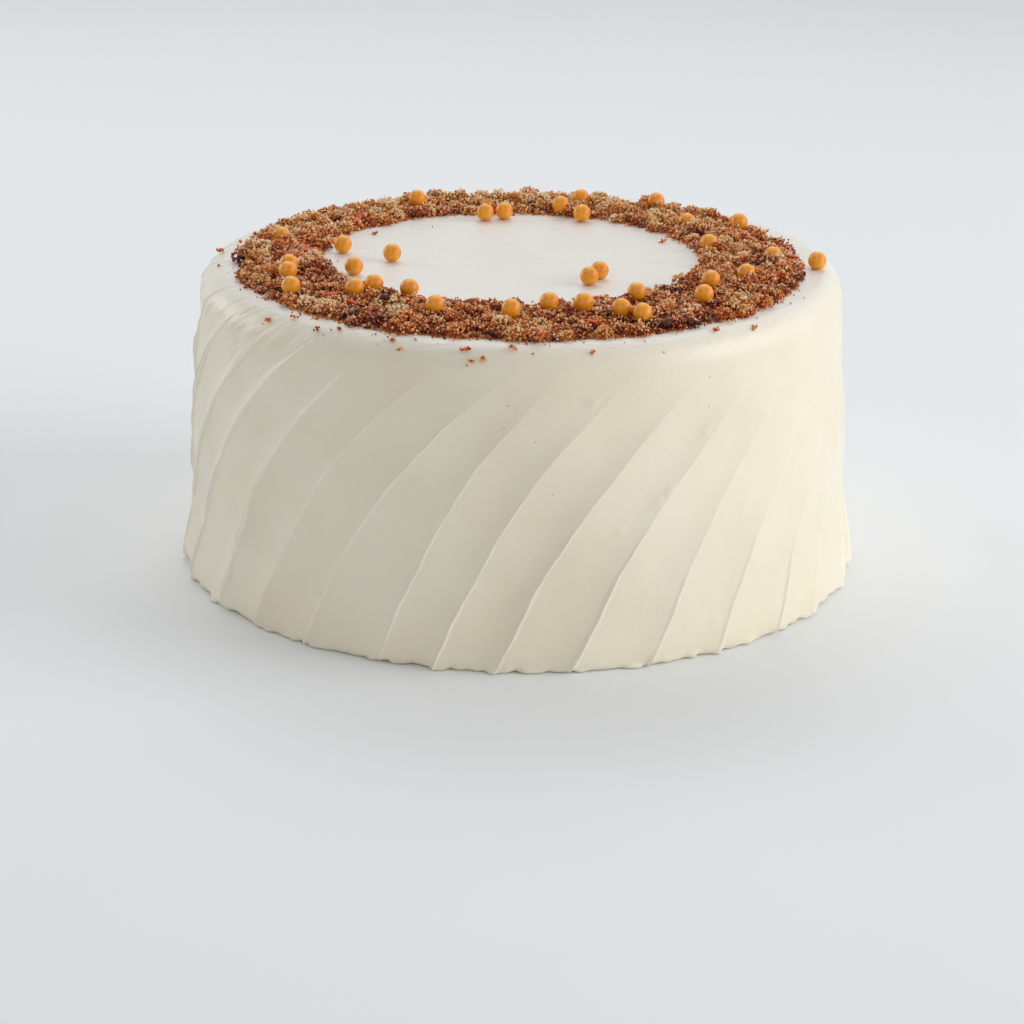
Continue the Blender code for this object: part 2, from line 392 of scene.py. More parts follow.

# %% [markdown]
# ## Frosting: the finish
#
# Cream cheese icing is butter, sugar and soft cheese: an off-white paste whose fat gives a soft satin
# shine and whose sugar keeps it matt where the knife dragged. Light goes a millimetre or two into it,
# so it gets a little subsurface. It must look moist, so its bump is faint and its gloss uneven: streaks
# a millimetre apart that follow each stroke, and a slow change of gloss over a few centimetres. The lips
# are given a whiter colour, a painted highlight, and the flat top a paler, cooler one, a painted sheen.
# The knife's last pass left straight streaks on the top.

# %% Frosting material: cream cheese icing, spread with a palette knife
ICING = "#F1E9D4"
ICING_DEEP = "#EDE3CB"
# Paler, cooler colour for the top: a painted sheen, standing in for the soft light the top reflects
ICING_TOP_SHEEN = "#F2EEE6"
# Whiter colour for the lips: a painted highlight, standing in for light catching the thin lips
LIP_HIGHLIGHT_WHITE = "#FFFBF0"
SPECK = "#C9B490"
icing, tree = new_material("cream_cheese_icing_spread")
place = add(tree, "TexCoord")
slow = add(tree, "TexNoise", {"Vector": place.outputs["Object"], "Scale": 1 / (30 * MM), "Detail": 2.0})
patches = add(tree, "MapRange", {"Value": slow.outputs["Fac"], "From Min": 0.35, "From Max": 0.65})
cells = add(tree, "TexVoronoi", {"Vector": place.outputs["Object"], "Scale": 1 / (13 * MM)})
fleck = add(tree, "MapRange", {
    "Value": cells.outputs["Distance"], "From Min": 0.012, "From Max": 0.032, "To Min": 1.0,
    "To Max": 0.0})
cream = add(tree, "Mix", {0: patches.outputs[0], 6: srgb(ICING), 7: srgb(ICING_DEEP)}, data_type="RGBA")
on_top = add(tree, "Attribute", attribute_name="on_top")
# Painted sheen: the top is mixed towards a paler, cooler colour
top_sheen_mix = add(
    tree, "Mix", {0: on_top.outputs["Fac"], 6: cream.outputs[2], 7: srgb(ICING_TOP_SHEEN)}, data_type="RGBA")
flecked = add(tree, "Mix", {0: fleck.outputs[0], 6: top_sheen_mix.outputs[2], 7: srgb(SPECK)}, data_type="RGBA")
# Painted highlight: the lips are mixed towards a whiter colour
lip_and_highlight = add(tree, "Attribute", attribute_name="lip_and_highlight")
colour = add(
    tree, "Mix", {0: lip_and_highlight.outputs["Fac"], 6: flecked.outputs[2], 7: srgb(LIP_HIGHLIGHT_WHITE)}, data_type="RGBA")

along_stroke = add(tree, "Attribute", attribute_name="stroke_mm")
stretched = add(tree, "Mapping", {"Vector": along_stroke.outputs["Vector"], "Scale": (0.9, 0.035, 1)})
side_streaks = add(tree, "TexNoise", {"Vector": stretched.outputs[0], "Scale": 1.0, "Detail": 3.0})
sideways = add(tree, "Mapping", {"Vector": place.outputs["Object"], "Scale": (25, 700, 700)})
top_streaks = add(tree, "TexNoise", {"Vector": sideways.outputs[0], "Scale": 1.0, "Detail": 3.0})
top_height = add(
    tree, "Math", {0: top_streaks.outputs["Fac"], 1: on_top.outputs["Fac"]}, operation="MULTIPLY")
top_bump = add(tree, "Bump", {"Height": top_height.outputs[0], "Strength": 0.8, "Distance": 1.0 * MM})
streak_bump = add(tree, "Bump", {
    "Height": side_streaks.outputs["Fac"], "Strength": 0.5, "Distance": 0.14 * MM,
    "Normal": top_bump.outputs[0]})
crinkle = add(tree, "Attribute", attribute_name="crinkled")
wrinkles = add(tree, "TexNoise", {
    "Vector": place.outputs["Object"], "Scale": 1 / (1.6 * MM), "Detail": 3.0})
wrinkle_height = add(
    tree, "Math", {0: wrinkles.outputs["Fac"], 1: crinkle.outputs["Fac"]}, operation="MULTIPLY")
bump = add(tree, "Bump", {
    "Height": wrinkle_height.outputs[0], "Strength": 0.5, "Distance": 0.5 * MM,
    "Normal": streak_bump.outputs[0]})
gloss = add(tree, "MapRange", {
    "Value": slow.outputs["Fac"], "From Min": 0.3, "From Max": 0.7, "To Min": 0.36, "To Max": 0.52})
shader = add(tree, "BsdfPrincipled", {
    "Base Color": colour.outputs[2], "Roughness": gloss.outputs[0], "IOR": 1.46,
    "Subsurface Weight": 0.15, "Subsurface Radius": (1.0, 0.75, 0.5), "Subsurface Scale": 2 * MM,
    "Coat Weight": 0.4, "Coat Roughness": 0.35, "Normal": bump.outputs[0]})
finish_material(tree, shader)
frosting.data.materials.append(icing)
print("materials so far:", [m.name for m in bpy.data.materials if m.users])

# %% [markdown]
# ## The ring of crumbs: where it lies
#
# The crumbs are trimmings of the cake rubbed small and toasted. They lie a few millimetres deep in a
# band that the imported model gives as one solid. Its foot is read from the model: for each direction, the
# nearest and the farthest point from the middle are the two edges of the band.

# %% Read the band's edges from the model
ring_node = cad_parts["crumb_ring"]
ring_points = np.array([v.co for v in ring_node.data.vertices])
ring_base = ring_points[:, 2].min()
foot_points = ring_points[ring_points[:, 2] < ring_base + 0.05 * MM]
foot_angle = np.arctan2(foot_points[:, 0], -foot_points[:, 1])
foot_radius = np.hypot(foot_points[:, 0], foot_points[:, 1])
order = np.argsort(foot_angle)
middle_radius = (foot_radius.min() + foot_radius.max()) / 2
is_inner = foot_radius < middle_radius


def band_edge(angle, inner):
    chosen = order[is_inner[order] == inner]
    return np.interp(angle, foot_angle[chosen], foot_radius[chosen], period=2 * np.pi)


print("band in mm:", round(foot_radius.min() / MM), "to", round(foot_radius.max() / MM))

# %% The pearls' places
PEARLS = sorted(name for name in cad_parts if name.startswith("pearl_"))
pearl_centres = np.array([sum(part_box(name), Vector()) / 2 for name in PEARLS])
pearl_radius = (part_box(PEARLS[0])[1].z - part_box(PEARLS[0])[0].z) / 2
print(len(PEARLS), "pearls of", round(2 * pearl_radius / MM, 1), "mm")


def clear_of_pearls(points, reach):
    """True where a crumb of this reach would not be inside a pearl."""
    apart = np.linalg.norm(points[:, None, :] - pearl_centres[None], axis=2)
    return (apart > pearl_radius + np.asarray(reach)[:, None]).all(axis=1)


# %% [markdown]
# ## The bed of fine crumbs
#
# Under the clumps lies fine crumb, finer than rice, which doesn't need to be made grain by grain. It is
# one sheet with its relief in the mesh: low hills a few millimetres wide, and on them a dome for every
# grain. The nearest of a cloud of scattered seeds gives each vertex its grain.

# %% Build the crumb bed
BED_STEPS_ROUND = 1000
BED_STEPS_ACROSS = 46
BED_DEPTH = 1.4 * MM
BED_HILLS = 0.9 * MM
SEED_COUNT = 26000
GRAIN_REACH = 0.62 * MM
GRAIN_RELIEF = 0.5 * MM
BED_EDGE_IN = 2.3 * MM
BED_EDGE_WAVE = 1.2 * MM
BED_EDGE_WAVELENGTH = 3.4 * MM

rng = np.random.default_rng(21)
bed_angle = np.linspace(-np.pi, np.pi, BED_STEPS_ROUND, endpoint=False)
rim = SIDE_RADIUS * np.stack([np.sin(bed_angle), -np.cos(bed_angle), 0 * bed_angle], axis=1)
inner = band_edge(bed_angle, True) + BED_EDGE_IN
inner += BED_EDGE_WAVE * lattice_noise(rim, BED_EDGE_WAVELENGTH, seed=31)
outer = band_edge(bed_angle, False) - BED_EDGE_IN
outer += BED_EDGE_WAVE * lattice_noise(rim, BED_EDGE_WAVELENGTH, seed=32)


def bed_height(points, part):
    """The bed's height without its grains; part is 0 at the outer edge and 1 at the inner."""
    crown = np.clip(np.minimum(6 * part, 6 * (1 - part)), 0, 1) ** 0.6
    hills = 0.6 * lattice_noise(points, 6 * MM, seed=33) + 0.4 * lattice_noise(points, 3 * MM, seed=34)
    return CAKE_HEIGHT - 0.2 * MM + crown * (BED_DEPTH + BED_HILLS * hills)


seed_angle = rng.uniform(-np.pi, np.pi, SEED_COUNT)
seed_radius = np.sqrt(rng.uniform((55 * MM) ** 2, (97 * MM) ** 2, SEED_COUNT))
grain_seeds = KDTree(SEED_COUNT)
for number, (a, r) in enumerate(zip(seed_angle, seed_radius)):
    grain_seeds.insert((r * math.sin(a), -r * math.cos(a), 0), number)
grain_seeds.balance()

bed = []
for part in np.linspace(0, 1, BED_STEPS_ACROSS):
    radius = outer + (inner - outer) * part
    row = np.stack([radius * np.sin(bed_angle), -radius * np.cos(bed_angle), 0 * radius], axis=1)
    nearest = np.array([grain_seeds.find(point)[2] for point in row])
    grain = GRAIN_RELIEF * np.clip(1 - (nearest / GRAIN_REACH) ** 2, -0.5, 1)
    row[:, 2] = np.maximum(bed_height(row, part) + grain, CAKE_HEIGHT - 0.4 * MM)
    bed.append(row)
crumb_bed = mesh_object("crumb_bed", np.concatenate(bed), grid_faces(BED_STEPS_ACROSS, BED_STEPS_ROUND))

# %% [markdown]
# ## Clumps of crumb
#
# Cake rubbed between the fingers breaks into clumps a few millimetres wide, each a knot of sugary grains
# about a millimetre across. Every clump is an ellipsoid that is never drawn: grains are spread evenly
# over its upper surface, and any that would lie inside a neighbouring clump or a pearl is left out. So
# all the triangles go where they can be seen. Eight corners, spread evenly over a ball and then pushed
# about, make a broken grain of a millimetre with only twelve triangles.

# %% Shapes and helpers for grains
GOLDEN_TURN = math.pi * (3 - math.sqrt(5))
GRAIN_CORNERS = 8
ball = bmesh.new()
for number in range(GRAIN_CORNERS):
    z = 1 - 2 * (number + 0.5) / GRAIN_CORNERS
    around = math.sqrt(1 - z * z)
    ball.verts.new((around * math.cos(GOLDEN_TURN * number), around * math.sin(GOLDEN_TURN * number), z))
bmesh.ops.convex_hull(ball, input=ball.verts)
ball.verts.index_update()
GRAIN_POINTS = np.array([v.co for v in ball.verts])
GRAIN_FACES = np.array([[v.index for v in f.verts] for f in ball.faces])
ball.free()
print("triangles in one grain:", len(GRAIN_FACES))


def random_turns(count):
    """Rotation matrices drawn evenly over every direction."""
    q = rng.normal(size=(count, 4))
    w, x, y, z = (q / np.linalg.norm(q, axis=1, keepdims=True)).T
    return np.stack([
        np.stack([1 - 2 * (y * y + z * z), 2 * (x * y - z * w), 2 * (x * z + y * w)], axis=1),
        np.stack([2 * (x * y + z * w), 1 - 2 * (x * x + z * z), 2 * (y * z - x * w)], axis=1),
        np.stack([2 * (x * z - y * w), 2 * (y * z + x * w), 1 - 2 * (x * x + y * y)], axis=1),
    ], axis=1)


def grains(centres, radii, rough=0.2, slim=(1.0, 0.82, 0.68)):
    """Points and faces of one rough grain at every centre."""
    count = len(centres)
    shapes = GRAIN_POINTS * rng.uniform(1 - rough, 1 + rough, (count, len(GRAIN_POINTS), 1))
    shapes = shapes * np.array(slim) * np.asarray(radii)[:, None, None]
    points = np.einsum("nij,nkj->nki", random_turns(count), shapes) + np.asarray(centres)[:, None, :]
    faces = GRAIN_FACES + len(GRAIN_POINTS) * np.arange(count)[:, None, None]
    return points.reshape(-1, 3), faces.reshape(-1, 3)


# %% [markdown]
# The clumps are laid one by one, the big ones first, and a new one is kept only if it doesn't sit too
# deep in one already there. A clump's kind is partly chance and patches of crust, and partly painted
# shade: clumps low in the heap, and those at the front of the ring, away from the light behind, are
# more often given the darker kinds.

# %% Lay the clumps
CLUMP_TRIES = 12000
CLUMP_SMALL = 0.9 * MM
CLUMP_LARGE = 3.0 * MM
CLUMP_OVERLAP = 0.78
# How far a clump's middle lies above the bed, as a share of its radius
CLUMP_RISE = (-0.2, 0.5)
# The largest clumps, as (degrees from the front, mm from the middle, mm wide)
LARGE_CLUMPS = (
    (84, 76.5, 8.4), (78, 72.5, 6.4), (90, 71.5, 6.0), (-1, 91.0, 6.2), (4, 88.5, 5.6),
    (-12, 90.0, 5.6), (-46, 88.0, 5.4), (30, 89.5, 5.2), (-78, 82.0, 6.0), (62, 83.0, 5.8),
    (-118, 74.0, 5.4), (140, 70.0, 5.2))
# The kind of each, from 0 for tan to 3 for dark
LARGE_KINDS = (3, 3, 3, 0, 0, 1, 0, 2, 1, 3, 0, 1)
LARGE_RISE = 0.9 * MM

sizes = CLUMP_SMALL + (CLUMP_LARGE - CLUMP_SMALL) * rng.uniform(0, 1, CLUMP_TRIES) ** 3.2
sizes = np.sort(sizes)[::-1]
tries_angle = rng.uniform(-np.pi, np.pi, CLUMP_TRIES)
tries_part = rng.uniform(0, 1, CLUMP_TRIES)
near_edge = np.interp(tries_angle, bed_angle, inner, period=2 * np.pi)
far_edge = np.interp(tries_angle, bed_angle, outer, period=2 * np.pi)
tries_radius = np.sqrt(far_edge ** 2 + (near_edge ** 2 - far_edge ** 2) * tries_part)
tries = np.stack([
    tries_radius * np.sin(tries_angle), -tries_radius * np.cos(tries_angle), 0 * tries_angle], axis=1)
tries[:, 2] = bed_height(tries, tries_part)
for number, (degrees, millimetres, wide) in enumerate(LARGE_CLUMPS):
    a = math.radians(degrees)
    out = millimetres * MM
    tries[number] = [out * math.sin(a), -out * math.cos(a), CAKE_HEIGHT + LARGE_RISE]
    sizes[number] = wide / 2 * MM

CELL = LARGE_CLUMPS[0][2] * MM
kept = []
cells = {}
for number, (spot, size) in enumerate(zip(tries, sizes)):
    cell = (int(spot[0] // CELL), int(spot[1] // CELL))
    around = []
    for i in (-1, 0, 1):
        for j in (-1, 0, 1):
            around += cells.get((cell[0] + i, cell[1] + j), [])
    if around:
        apart = np.hypot(*(tries[around, :2] - spot[:2]).T)
        if (apart < CLUMP_OVERLAP * (sizes[around] + size)).any():
            continue
    cells.setdefault(cell, []).append(number)
    kept.append(number)
clump_at = tries[kept]
clump_size = sizes[kept]
clump_at[:, 2] += clump_size * rng.uniform(*CLUMP_RISE, len(kept))
print("clumps:", len(kept), "average width in mm:", round(2 * clump_size.mean() / MM, 1))

# %% Grains over the clumps
GRAINS_PER_SQ_MM = 1.25
GRAIN_RADIUS_MM = 0.46
# How far down a clump's side its grains reach, where 1 is its top and -1 its underside
DEEPEST = -0.35
FEWEST_GRAINS = 5
LUMPINESS = 0.16
# A grain is left out when it lies deeper than this in another clump; 1 is the clump's surface
HIDDEN_INSIDE = 0.62
areas = 2 * np.pi * (1 - DEEPEST) * (clump_size / MM) ** 2
counts = np.maximum(FEWEST_GRAINS, areas * GRAINS_PER_SQ_MM).astype(int)
owner = np.repeat(np.arange(len(kept)), counts)
rank = np.concatenate([np.arange(c) for c in counts]) + 0.5
up = 1 - (1 - DEEPEST) * rank / counts[owner]
spin = GOLDEN_TURN * rank + rng.uniform(0, 2 * np.pi, len(kept))[owner]
flat = np.sqrt(1 - up ** 2)
directions = np.stack([flat * np.cos(spin), flat * np.sin(spin), up], axis=1)
directions += rng.normal(0, 0.10, directions.shape)
shape = np.stack([
    rng.uniform(0.85, 1.2, len(kept)), rng.uniform(0.8, 1.1, len(kept)),
    rng.uniform(0.65, 0.95, len(kept))], axis=1)
on_ball = directions * clump_size[owner][:, None] + clump_at[owner]
lumpy = 1 + LUMPINESS * lattice_noise(on_ball, 1.7 * MM, seed=41)
grain_at = clump_at[owner] + directions * (shape * clump_size[:, None])[owner] * lumpy[:, None]
grain_size = np.clip(rng.lognormal(math.log(GRAIN_RADIUS_MM), 0.26, len(owner)), 0.28, 0.85) * MM

middles = KDTree(len(kept))
for number, spot in enumerate(clump_at):
    middles.insert(spot, number)
middles.balance()
seen = np.ones(len(owner), bool)
for number, spot in enumerate(grain_at):
    for _, other, _ in middles.find_range(spot, CLUMP_LARGE):
        if other != owner[number]:
            inside = (spot - clump_at[other]) / (shape[other] * clump_size[other])
            if inside @ inside < HIDDEN_INSIDE:
                seen[number] = False
                break
seen &= clear_of_pearls(grain_at, 0.5 * grain_size)
seen &= grain_at[:, 2] > CAKE_HEIGHT
print("grains:", int(seen.sum()), "of", len(seen))

# %% [markdown]
# ## Crumbs that fell away
#
# A few clumps and a dust of single grains lie outside the ring on the bare frosting, most of them at the
# front edge, and a few just inside it. Each is dropped onto the frosting's own surface, so that it
# rests on the shoulder's slope.

# %% Drop the loose crumbs
surface = BVHTree.FromObject(frosting, bpy.context.evaluated_depsgraph_get())


def drop(angle, radius, size):
    """The middle of a crumb of this size that lies on the frosting in this direction."""
    start = Vector((radius * math.sin(angle), -radius * math.cos(angle), 0.2))
    hit, normal, _, _ = surface.ray_cast(start, Vector((0, 0, -1)))
    return np.array(hit + normal * size * 0.6)


LOOSE_OUTSIDE = 150
LOOSE_INSIDE = 60
FARTHEST_OUT = 103 * MM
loose_at, loose_size = [], []
for number in range(LOOSE_OUTSIDE + LOOSE_INSIDE):
    outside = number < LOOSE_OUTSIDE
    angle = rng.uniform(-np.pi, np.pi) if rng.random() < 0.5 else math.radians(rng.uniform(-70, 75))
    past = rng.exponential(2.2 * MM) if outside else rng.exponential(1.8 * MM)
    edge_radius = np.interp(angle, bed_angle, outer if outside else inner, period=2 * np.pi)
    radius = edge_radius + past if outside else edge_radius - past
    size = min(0.75, rng.lognormal(math.log(0.34), 0.3)) * MM
    loose_at.append(drop(angle, min(radius, FARTHEST_OUT), size))
    loose_size.append(size)

# Fine dust along both edges, so that the ring doesn't end in a hard line
EDGE_DUST = 2600
for number in range(EDGE_DUST):
    outside = number % 2 == 0
    angle = rng.uniform(-np.pi, np.pi)
    edge_radius = np.interp(angle, bed_angle, outer if outside else inner, period=2 * np.pi)
    beyond = rng.normal(0.3, 0.8) * MM
    size = rng.uniform(0.22, 0.5) * MM
    loose_at.append(drop(angle, edge_radius + beyond if outside else edge_radius - beyond, size))
    loose_size.append(size)

# The clumps that fell away, as (degrees from the front, mm from the middle, mm in radius)
FALLEN_CLUMPS = (
    (-95, 96.5, 1.6), (-49, 99.0, 1.4), (-44, 96.0, 1.2), (-37, 98.0, 1.2), (-33, 96.5, 1.1),
    (-22, 97.5, 1.4), (-20, 99.5, 1.1), (-9, 98.5, 1.5), (-8, 101.0, 1.2), (-6, 100.5, 1.6),
    (-1, 98.0, 1.7), (12, 99.0, 0.9), (36, 97.0, 1.3), (44, 99.0, 1.0), (47, 55.0, 1.3),
    (118, 53.0, 1.2), (-122, 57.0, 1.1),
)
for degrees, millimetres, size in FALLEN_CLUMPS:
    middle = drop(math.radians(degrees), millimetres * MM, size * MM)
    for _ in range(int(9 * size)):
        loose_at.append(middle + rng.normal(0, 0.42, 3) * size * MM * [1, 1, 0.6])
        loose_size.append(rng.uniform(0.35, 0.6) * MM)
loose_at = np.array(loose_at)
loose_size = np.array(loose_size)
print("loose grains:", len(loose_at))

# %% [markdown]
# ## Crumbs: the four kinds
#
# Each kind of crumb is one piece with one material. Every grain has a tone from 0 to 1, partly chance
# and partly how far up on its clump it sits, which is painted light and shade: grains high on a clump
# are paler and low ones darker.
# The tone picks the grain's colour from a ramp that runs from scorched through caramel to sugar.

# %% Crumb materials: toasted cake crumb with sugar
KINDS = {
    "crumbs_tan": ("#9C4A16", "#DC8C3C", "#F8C680", "#FFEEC8"),
    "crumbs_amber": ("#76220A", "#CC6020", "#F29E50", "#FDDCA4"),
    "crumbs_brown": ("#420D05", "#9A3210", "#D4722E", "#F4C07C"),
    "crumbs_dark": ("#280703", "#64180A", "#AA421A", "#E49C58"),
}
TONE_STOPS = (0.08, 0.42, 0.74, 0.95)
# Darker than the clumps' ramps: partly the fine crumb's own colour, partly painted shade in the crevices
# between clumps
BED_TONES_AND_SHADE = ("#2C0C05", "#5E2210", "#974820", "#D08A48")


def crumb_material(name, tones):
    made, tree = new_material(name)
    place = add(tree, "TexCoord")
    tone_and_shade = add(tree, "Attribute", attribute_name="tone_and_shade")
    colour = add(tree, "ValToRGB", {0: tone_and_shade.outputs["Fac"]}, stops=list(zip(TONE_STOPS, tones)))
    pores = add(tree, "TexNoise", {
        "Vector": place.outputs["Object"], "Scale": 1 / (0.5 * MM), "Detail": 3.0})
    bump = add(tree, "Bump", {"Height": pores.outputs["Fac"], "Strength": 0.5, "Distance": 0.15 * MM})
    gloss = add(tree, "MapRange", {"Value": pores.outputs["Fac"], "To Min": 0.35, "To Max": 0.65})
    shader = add(tree, "BsdfPrincipled", {
        "Base Color": colour.outputs[0], "Roughness": gloss.outputs[0], "Specular IOR Level": 0.35,
        "Subsurface Weight": 0.12, "Subsurface Radius": (1.0, 0.5, 0.25), "Subsurface Scale": 1 * MM,
        "Normal": bump.outputs[0]})
    finish_material(tree, shader)
    return made


from_edge = np.minimum(np.arange(BED_STEPS_ACROSS), np.arange(BED_STEPS_ACROSS)[::-1])
at_edge = np.repeat(np.exp(-from_edge / 3.0), BED_STEPS_ROUND)
bed_tone = 0.3 + 0.5 * lattice_noise(np.concatenate(bed), 1.4 * MM, seed=35) + 0.6 * at_edge
float_layer(crumb_bed, "tone_and_shade", bed_tone + 0.25 * rng.normal(0, 1, len(bed_tone)))
crumb_bed.data.materials.append(crumb_material("fine_toasted_crumb", BED_TONES_AND_SHADE))
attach(crumb_bed, "root")
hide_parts("crumb_ring")

# %% Sort the clumps into kinds and build each kind
CRUST_AVERAGE = 0.35
# Painted shade: clumps at the front of the ring and clumps low in the heap are pushed towards the darker
# kinds
PAINTED_SHADE_IN_FRONT = 0.23
PAINTED_SHADE_BELOW = 0.45
CRUST_PATCHES = 0.40
HEAP_HEIGHT = 3.5 * MM
KIND_STEPS = (0.20, 0.46, 0.74)
clump_angle = np.arctan2(clump_at[:, 0], -clump_at[:, 1])
height_share = (clump_at[:, 2] - CAKE_HEIGHT) / HEAP_HEIGHT
crust_and_shade = CRUST_AVERAGE + PAINTED_SHADE_IN_FRONT * np.cos(clump_angle) + PAINTED_SHADE_BELOW * (0.4 - height_share)
crust_and_shade += CRUST_PATCHES * lattice_noise(clump_at, 8 * MM, seed=51)
crust_and_shade += rng.normal(0, 0.15, len(clump_at))
clump_kind = np.digitize(crust_and_shade, KIND_STEPS)
clump_kind[:len(LARGE_KINDS)] = LARGE_KINDS
clump_tone = rng.normal(0, 0.13, len(clump_at))
# The 0.32 * up term is painted light and shade: grains high on a clump are lighter, low ones darker
grain_tone_and_shade = 0.46 + 0.32 * up + clump_tone[owner] + rng.normal(0, 0.19, len(owner))
loose_kind = rng.choice(4, len(loose_at), p=[0.35, 0.4, 0.22, 0.03])
loose_tone = rng.normal(0.5, 0.2, len(loose_at))
for number, (name, tones) in enumerate(KINDS.items()):
    mine = seen & (clump_kind[owner] == number)
    loose = loose_kind == number
    cores = clump_kind == number
    grain_points, grain_faces = grains(
        np.concatenate([grain_at[mine], loose_at[loose]]),
        np.concatenate([grain_size[mine], loose_size[loose]]))
    core_points, core_faces = grains(clump_at[cores], 0.88 * clump_size[cores], slim=(0.9, 0.85, 0.75))
    points = np.concatenate([grain_points, core_points])
    faces = np.concatenate([grain_faces, core_faces + len(grain_points)])
    # The cores get a fixed dark tone of 0.15: painted shade in the gaps between a clump's grains
    tone_and_shade = np.concatenate([grain_tone_and_shade[mine], loose_tone[loose], np.full(cores.sum(), 0.15)])
    piece = mesh_object(name, points, faces, smooth=False)
    float_layer(piece, "tone_and_shade", np.repeat(tone_and_shade, len(GRAIN_POINTS)))
    piece.data.materials.append(crumb_material("toasted_" + name[7:] + "_crumb", tones))
    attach(piece, "root")

# %% [markdown]
# Brown sugar was tossed with the crumbs. Its crystals are a third of a millimetre wide and stick to the
# tops of the clumps, where they catch the light. At that size eight triangles are enough.

# %% Sugar crystals on the clumps
CRYSTALS = 18000
CRYSTAL_RADIUS_MM = 0.21
CRYSTAL_POINTS = np.array([(1, 0, 0), (-1, 0, 0), (0, 1, 0), (0, -1, 0), (0, 0, 1), (0, 0, -1)], float)
CRYSTAL_FACES = np.array([
    (0, 2, 4), (2, 1, 4), (1, 3, 4), (3, 0, 4), (2, 0, 5), (1, 2, 5), (3, 1, 5), (0, 3, 5)])
chance = np.where(seen, np.clip(up + 0.45, 0.05, 1.4) ** 2, 0)
on_grain = rng.choice(len(seen), CRYSTALS, p=chance / chance.sum())
outward = directions[on_grain] + rng.normal(0, 0.5, (CRYSTALS, 3))
outward[:, 2] = np.abs(outward[:, 2])
outward /= np.linalg.norm(outward, axis=1, keepdims=True)
crystal_at = grain_at[on_grain] + outward * (0.75 * grain_size[on_grain])[:, None]
crystal_size = np.clip(rng.lognormal(math.log(CRYSTAL_RADIUS_MM), 0.25, CRYSTALS), 0.13, 0.34) * MM
apart = clear_of_pearls(crystal_at, 0.6 * crystal_size)
crystal_at, crystal_size, on_grain = crystal_at[apart], crystal_size[apart], on_grain[apart]
shapes = CRYSTAL_POINTS * rng.uniform(0.75, 1.25, (len(crystal_at), len(CRYSTAL_POINTS), 1))
shapes *= crystal_size[:, None, None]
points = np.einsum("nij,nkj->nki", random_turns(len(crystal_at)), shapes) + crystal_at[:, None, :]
faces = CRYSTAL_FACES + len(CRYSTAL_POINTS) * np.arange(len(crystal_at))[:, None, None]
crystals = mesh_object("sugar_crystals", points.reshape(-1, 3), faces.reshape(-1, 3), smooth=False)
# The crystals take their grain's tone, with its painted light and shade
crystal_tone_and_shade = grain_tone_and_shade[on_grain] + rng.normal(0.12, 0.16, len(crystal_at))
float_layer(crystals, "tone_and_shade", np.repeat(crystal_tone_and_shade, len(CRYSTAL_POINTS)))
SUGAR_TONES = ("#A0501C", "#DA903C", "#F5C67E", "#FFF2D6")
crystals.data.materials.append(crumb_material("raw_sugar_crystals", SUGAR_TONES))
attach(crystals, "root")

# %% [markdown]
# ## Grated carrot and raisin
#
# The rubbed cake brings its grated carrot along: flat shreds a millimetre and a half wide and up to six
# long, moist and orange-red. Bits of raisin show as well, wrinkled and almost black. Each of them lies on
# the highest clump beneath it, so its height is worked out from the clumps.

# %% Where they lie, as (degrees from the front, mm from the middle, mm long)
SHREDS = (
    (-91.0, 65.5, 5.0), (-95, 69, 4.6), (-89, 69, 4.0), (-43, 83.5, 5.2), (-38, 82, 4.0),
    (-29.5, 61, 5.6), (-26, 66.5, 5.0), (-9, 64.5, 4.6), (37, 75, 5.2), (14, 85, 4.6),
    (23, 58.5, 5.0), (-150, 68, 5.0), (-125, 66, 4.6), (143, 71, 5.0), (105, 79, 5.4),
    (68, 66, 4.6), (82, 70, 5.4), (86, 86, 4.4))
RAISIN_BITS = (
    (8.0, 77.0, 4.6), (-33, 74, 3.0), (28.5, 90.0, 3.8), (-34, 88.5, 2.6), (18.5, 80, 2.8),
    (-21, 60.5, 2.4), (-6.5, 70, 3.0), (177, 67, 3.2), (-159, 80, 3.0), (54, 85, 2.8))


def heap_top(x, y):
    """Height of the crumbs at this place: the top of the highest clump that covers it."""
    apart = np.hypot(clump_at[:, 0] - x, clump_at[:, 1] - y)
    rise = np.sqrt(np.clip(1 - (apart / clump_size) ** 2, 0, 1)) * shape[:, 2] * clump_size
    return np.where(apart < clump_size, clump_at[:, 2] + rise, CAKE_HEIGHT + BED_DEPTH).max()


def on_heap(degrees, millimetres):
    x = millimetres * MM * math.sin(math.radians(degrees))
    y = -millimetres * MM * math.cos(math.radians(degrees))
    return np.array([x, y, heap_top(x, y)])


